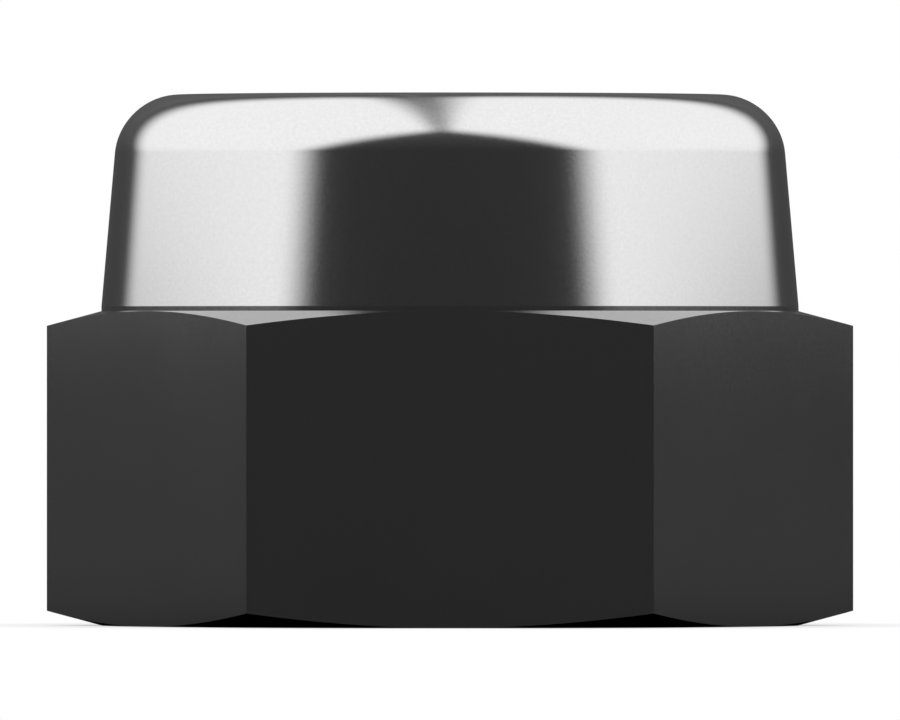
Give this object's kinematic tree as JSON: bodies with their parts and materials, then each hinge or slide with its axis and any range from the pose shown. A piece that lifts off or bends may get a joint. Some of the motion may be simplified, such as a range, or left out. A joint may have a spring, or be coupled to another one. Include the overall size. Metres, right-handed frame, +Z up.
{
  "type": "nylon insert lock nut",
  "caption": "Hexagon lock nut with a tapered collar rolled in over a nylon ring, which grips the bolt's thread so that it doesn't shake loose.",
  "frame": {"origin": "centre of the bearing face that the nut stands on", "axes": "+Z up the thread's axis towards the rolled lip, +X through two opposite corners of the hexagon, +Y through two opposite flats"},
  "size_m": [0.0346, 0.03, 0.0228],
  "materials": {
    "steel": "gloss",
    "nylon": "satin"
  },
  "bodies": {
    "root": {"nut_body": "steel", "locking_ring": "nylon"}
  },
  "joints": []
}
